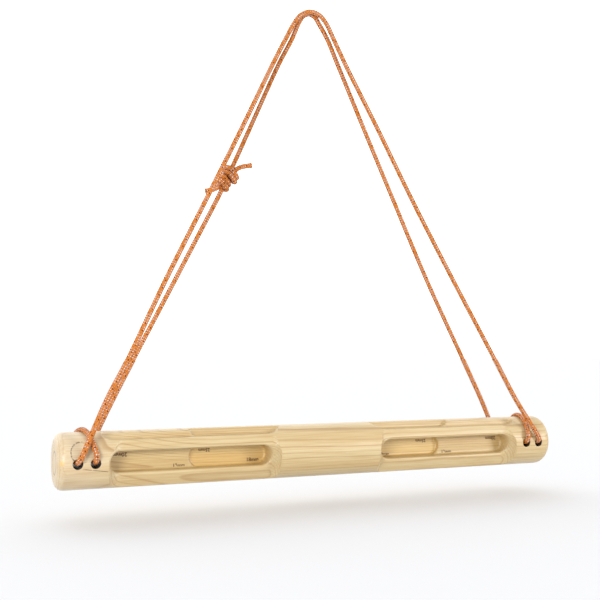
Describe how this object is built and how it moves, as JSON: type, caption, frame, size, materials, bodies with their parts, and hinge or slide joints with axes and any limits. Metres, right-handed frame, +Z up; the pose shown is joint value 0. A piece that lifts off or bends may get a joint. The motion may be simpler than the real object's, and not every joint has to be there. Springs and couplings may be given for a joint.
{
  "type": "portable hangboard",
  "caption": "Round wooden training bar with stepped finger slots and top ledges along its front, hung from a doubled loop of braided cord tied through holes at both ends.",
  "frame": {"origin": "centre of the bar, halfway along its axis", "axes": "+X along the bar to the right as its front is faced, +Y out of the back of the bar, +Z up towards the hook"},
  "size_m": [0.6, 0.0721, 0.5412],
  "materials": {
    "bar_wood": "sanded and oiled pale wood",
    "cord": "braided polyester, orange with pale flecks"
  },
  "bodies": {
    "cord": {"cord_front_loop": "cord", "cord_back_upper": "cord", "cord_back_lower": "cord", "knot_upper_turns": "cord", "knot_lower_turns": "cord"},
    "bar": {"bar": "bar_wood", "cord_wrap_left": "cord", "cord_wrap_right": "cord"}
  },
  "joints": [
    {"name": "bar_roll", "type": "hinge", "parent": "cord", "child": "bar", "pos_m": [0, 0, 0], "axis": [1, 0, 0], "range_deg": [-15, 15]}
  ]
}
